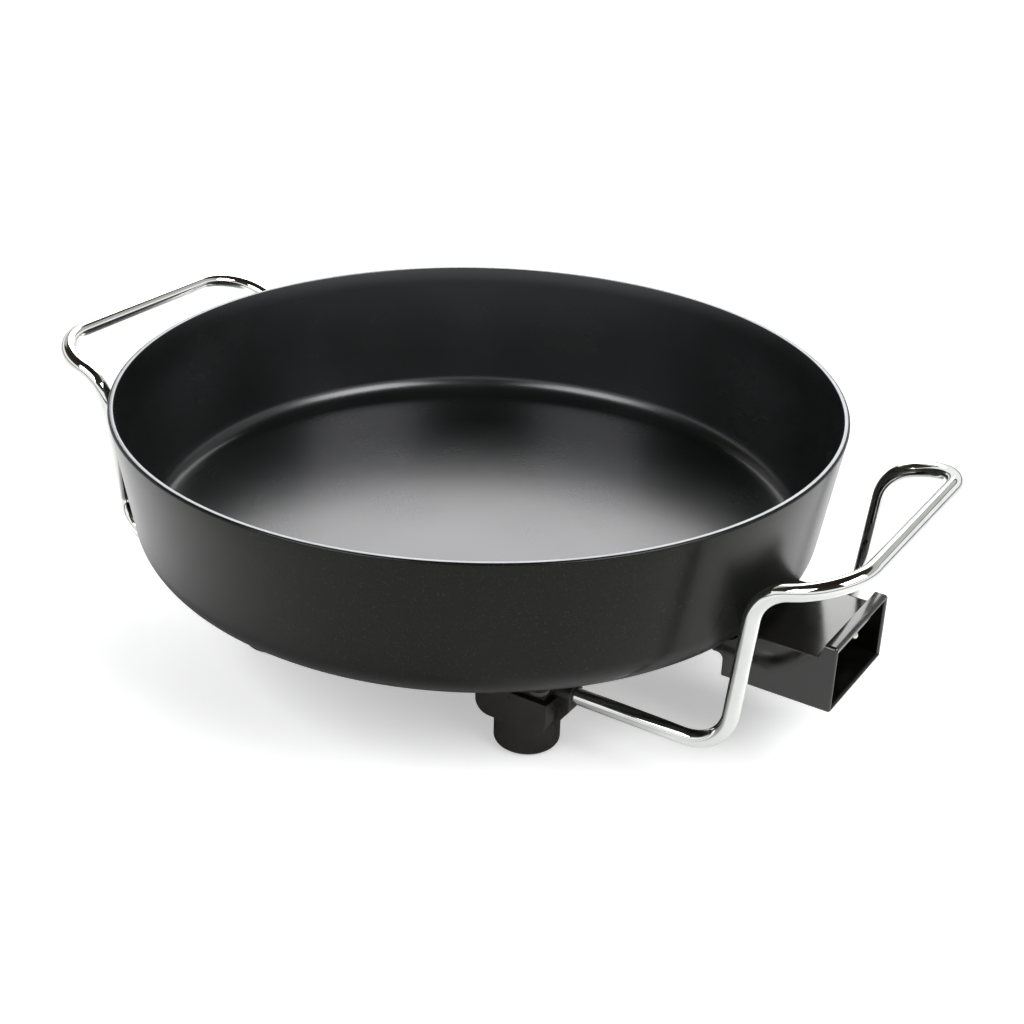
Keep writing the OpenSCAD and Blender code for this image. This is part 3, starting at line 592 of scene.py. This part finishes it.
def bent_bar(name, points, radii, diameter, material):
    """A round bar through points, in millimetres, with a bend radius at each, or through every point."""
    mesh = bpy.data.meshes.new(name)
    mesh.from_pydata([[c * MM for c in p] for p in points], [(i, i + 1) for i in range(len(points) - 1)], [])
    bends = mesh.attributes.new("bend_radius", "FLOAT", "POINT")
    bends.data.foreach_set("value", [r * MM for r in radii or [0] * len(points)])
    piece = link(bpy.data.objects.new(name, mesh))
    modifier = piece.modifiers.new("bent bar", "NODES")
    modifier.node_group = BENT_BAR
    set_inputs(modifier, BENT_BAR, Diameter=diameter * MM, Sides=40, Bend_steps=22,
               Has_bends=bool(radii), Material=material)
    return settle(piece)


def join(name, pieces):
    """Joins pieces into one mesh."""
    bm = bmesh.new()
    materials = []
    for piece in pieces:
        start = len(bm.faces)
        bm.from_mesh(piece.data)
        bm.faces.ensure_lookup_table()
        base = len(materials)
        materials += [m for m in piece.data.materials]
        for face in bm.faces[start:]:
            face.material_index += base
    for piece in pieces:
        bpy.data.objects.remove(piece)
    merged = list(dict.fromkeys(materials))
    for face in bm.faces:
        face.material_index = merged.index(materials[face.material_index])
    return mesh_piece(name, bm, merged)


# The handles' line: where the arm leaves the leg, how far the leg leans, where the grip lies beyond
# and below the rim, where the round wire starts beside a foot, and how far the flat eye reaches
ARM_X, ARM_Z, LEG_LEAN = 173.0, 109.0, 7.2
GRIP_OUT, GRIP_DROP = 38.7, 7.7
WIRE_START, EYE_REACH = 6.0, 10.2


def make_handles():
    grip = (RIM_R + GRIP_OUT + WIRE_D / 2, RIM_Z - GRIP_DROP)
    for side, word in ((1, "right"), (-1, "left")):
        half = [(FOOT_X + WIRE_START, RUN_Z), (ARM_X - LEG_LEAN, RUN_Z), (ARM_X, ARM_Z), grip]
        points = [(side * x, -FOOT_Y, z) for x, z in half]
        points += [(side * x, FOOT_Y, z) for x, z in reversed(half)]
        radii = [0, 20, 20, 24, 24, 20, 20, 0]
        wire = bent_bar("wire", points, radii, WIRE_D, CHROME)
        # The flattened eyes at the wire's ends
        eyes = solid_of("handle_" + word)
        far = [f for f in eyes.faces if max(abs(v.co.x) for v in f.verts) > (FOOT_X + EYE_REACH) * MM]
        bmesh.ops.delete(eyes, geom=far, context="FACES")
        eye = mesh_piece("eyes", eyes, [CHROME])
        handle = join("wire_handle_" + word, [wire, eye])
        hand_in(handle, "wire", "handle_" + word)


make_handles()


# ---------------------------------------------------------------- feet, saddles and pads

for corner in CORNERS:
    hand_in(softened("moulded_foot_" + corner, "foot_" + corner, [FOOT], 0.5), "feet", "foot_" + corner)
    hand_in(softened("moulded_saddle_" + corner, "saddle_" + corner, [SADDLE], 0.4), "saddles",
            "saddle_" + corner)


def make_pads():
    """Rubber pads with two shallow rings in the face that they stand on."""
    profile = [(0, 3.8), (9.2, 3.8), (9.7, 3.3), (9.7, 0.7), (9.4, 0.2), (8.9, 0.0), (7.6, 0.0), (7.3, 0.5),
               (6.5, 0.5), (6.2, 0.0), (4.6, 0.0), (4.3, 0.5), (3.5, 0.5), (3.2, 0.0), (0, 0.0)]
    for corner, (sx, sy) in CORNERS.items():
        bm = bmesh.new()
        lathe(bm, profile, 64, Matrix.Translation((sx * FOOT_X * MM, sy * FOOT_Y * MM, 0)))
        bmesh.ops.recalc_face_normals(bm, faces=bm.faces)
        hand_in(mesh_piece("rubber_pad_" + corner, bm, [RUBBER]), "pads", "pad_" + corner)


make_pads()


# ---------------------------------------------------------------- socket

SHROUD_FRONT, SHROUD_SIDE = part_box("socket_shroud")[1][:2]
SHROUD_INSIDE_Y = 25.7 * MM
# Height and distance of the terminal pins
PIN_Z, PINS_APART = 53.0, 32.4


def outer_mouth_edge(edge):
    """Whether an edge lies on the outer outline of the shroud's mouth."""
    low, high = 41.8 * MM, 68.4 * MM
    at_front = min(v.co.x for v in edge.verts) > SHROUD_FRONT - 1e-5
    return at_front and any(abs(v.co.y) > SHROUD_INSIDE_Y + 1e-4 or not low < v.co.z < high
                            for v in edge.verts)


def top_side_edge(edge):
    """Whether an edge lies along the shroud's top at one of its sides, behind the frame."""
    return all(abs(v.co.y) > SHROUD_SIDE - 1e-5 and v.co.z > BASE_Z * MM and v.co.x < SHROUD_FRONT - 7 * MM
               for v in edge.verts)


def make_shroud():
    shroud = softened("moulded_shroud", "socket_shroud", [SHROUD, SHROUD_INSIDE], 0.3, 3,
                      rounders=[(1.3, outer_mouth_edge), (0.9, top_side_edge)])
    # The faces that look towards the socket's axis are left dull, and darker with painted shade
    for face in shroud.data.polygons:
        across, height = face.center[1], face.center[2] - PIN_Z * MM
        if abs(across) < SHROUD_INSIDE_Y + 1e-4 and across * face.normal.y + height * face.normal.z < -1e-6:
            face.material_index = 1
    hand_in(shroud, "shroud", "socket_shroud")


make_shroud()
hand_in(softened("plate", "terminal_plate", [SHEET], 0.15, 1), "clamp", "terminal_plate")
hand_in(softened("clamp_ring", "element_clamp_ring", [DULL_SHEET], 0.2, 1), "clamp", "element_clamp_ring")
hand_in(softened("earth_spring", "earth_strip", [BRASS], 0.12, 1), "brass", "earth_strip")
hand_in(softened("earth_rivet_head", "earth_rivet", [ZINC], 0.2, 2), "screws", "earth_rivet")
hand_in(softened("probe_well", "probe_tube", [TUBE], 0.15, 1), "tube", "probe_tube")
hand_in(softened("element_sheath", "heating_element", [SHEATH], 0.2, 1, 50), "element", "heating_element")
for side in ("front", "back"):
    hand_in(softened("pin_" + side, "terminal_pin_" + side, [NICKEL], 0.15, 2, 50), "pins",
            "terminal_pin_" + side)
    hand_in(softened("bead_" + side, "ceramic_bead_" + side, [STEATITE], 0.3, 2), "beads",
            "ceramic_bead_" + side)


# ---------------------------------------------------------------- screws and washers

def placed_copies_tree():
    """Geometry Nodes that put a copy of one object at each point of a mesh, turned as the point says."""
    tree = bpy.data.node_groups.new("placed_copies", "GeometryNodeTree")
    face = tree.interface
    for name, kind in (("Places", "NodeSocketGeometry"), ("Copy", "NodeSocketObject"),
                       ("Material", "NodeSocketMaterial")):
        face.new_socket(name, in_out="INPUT", socket_type=kind)
    face.new_socket("Pieces", in_out="OUTPUT", socket_type="NodeSocketGeometry")
    given = tree.nodes.new("NodeGroupInput").outputs
    one = add(tree, "GeometryNodeObjectInfo", {"Object": given["Copy"]})
    turn = add(tree, "GeometryNodeInputNamedAttribute", {"Name": "turn"}, data_type="FLOAT_VECTOR")
    turned = add(tree, "FunctionNodeEulerToRotation", {"Euler": turn.outputs[0]})
    placed = add(tree, "GeometryNodeInstanceOnPoints", {"Points": given["Places"],
                                                        "Instance": one.outputs["Geometry"],
                                                        "Rotation": turned.outputs[0]})
    whole = add(tree, "GeometryNodeRealizeInstances", {"Geometry": placed.outputs[0]})
    done = add(tree, "GeometryNodeSetMaterial", {"Geometry": whole.outputs[0], "Material": given["Material"]})
    add(tree, "NodeGroupOutput", {"Pieces": done.outputs[0]})
    return tree


PLACED_COPIES = placed_copies_tree()


def placed_copies(name, profile, places, material, turns=None):
    """Copies of a turned piece at places in millimetres, each with its own turn where turns gives them."""
    bm = bmesh.new()
    lathe(bm, profile, 48)
    bmesh.ops.recalc_face_normals(bm, faces=bm.faces)
    one = mesh_piece(name + "_one", bm, [material], 30)
    mesh = bpy.data.meshes.new(name)
    mesh.from_pydata([[c * MM for c in place] for place in places], [], [])
    turned = mesh.attributes.new("turn", "FLOAT_VECTOR", "POINT")
    turned.data.foreach_set("vector", [a for turn in turns or [(0, 0, 0)] * len(places) for a in turn])
    piece = link(bpy.data.objects.new(name, mesh))
    modifier = piece.modifiers.new("placed copies", "NODES")
    modifier.node_group = PLACED_COPIES
    set_inputs(modifier, PLACED_COPIES, Copy=one, Material=material)
    settle(piece)
    bpy.data.objects.remove(one)
    return piece


def screw_profile(diameter, length):
    """A pan-head screw with a hexagon recess: its head below and its shank above height 0."""
    head_r, head_h, recess_r, half = 0.88 * diameter, 0.62 * diameter, 0.35 * diameter, diameter / 2
    edge, lip, tip = head_h / 3, 0.1, 0.12 * diameter
    recess = [(0, -head_h / 2), (recess_r, -head_h / 2, 6), (recess_r, lip - head_h, 6),
              (recess_r + lip, -head_h, 6)]
    head = arc((head_r - edge, edge - head_h), edge, -90, 0, 6) + [(head_r, -lip), (head_r - lip, 0)]
    return recess + head + [(half, 0), (half, length - tip), (half - tip, length), (0, length)]


def washer_profile(outer, inner, thick):
    """A washer on height 0, its corners broken by the press."""
    outside, inside, edge = outer / 2, inner / 2, 0.12
    loop = [(inside, edge), (inside + edge, 0), (outside - edge, 0), (outside, edge), (outside, thick - edge),
            (outside - edge, thick), (inside + edge, thick), (inside, thick - edge)]
    return loop + loop[:1]


# Where the heads sit: under the feet, under the clamp ring's lugs and on the terminal plate
FOOT_SEAT_Z, CLAMP_SEAT_R, CLAMP_SEAT_Z = 16.0, ELEMENT_R + 10, 47.2
PLATE_X, PLATE_SCREW_Y, PLATE_SCREW_Z = FLAT_R + 11.5, 7.85, 45.6
CLAMP_SCREWS = 6


def make_screws():
    feet = [(sx * FOOT_X, sy * FOOT_Y, FOOT_SEAT_Z) for sx, sy in CORNERS.values()]
    screws = placed_copies("foot_screw_set", screw_profile(5.0, 40.5), feet, ZINC)
    hand_in(screws, "screws", "foot_screws")
    washers = placed_copies("foot_washer_set", washer_profile(9.8, 5.2, 1.0), feet, ZINC)
    hand_in(washers, "screws", "foot_washers")
    # Spread evenly round the element, but for the gap at its two ends
    gap = math.asin((PINS_APART / 2 + 12 + 9) / ELEMENT_R)
    spread = [gap + (i + 0.5) * (2 * math.pi - 2 * gap) / CLAMP_SCREWS for i in range(CLAMP_SCREWS)]
    lugs = [(CLAMP_SEAT_R * math.cos(a), CLAMP_SEAT_R * math.sin(a), CLAMP_SEAT_Z) for a in spread]
    screws = placed_copies("clamp_screw_set", screw_profile(3.0, 7.3), lugs, TINTED_ZINC,
                           [(0, 0, a) for a in spread])
    hand_in(screws, "screws", "clamp_screws")
    holes = [(PLATE_X, y, PLATE_SCREW_Z) for y in (-PLATE_SCREW_Y, PLATE_SCREW_Y)]
    screws = placed_copies("socket_screw_set", screw_profile(3.5, 18.5), holes, ZINC,
                           [(0, -math.pi / 2, 0)] * 2)
    hand_in(screws, "screws", "socket_screws")


make_screws()
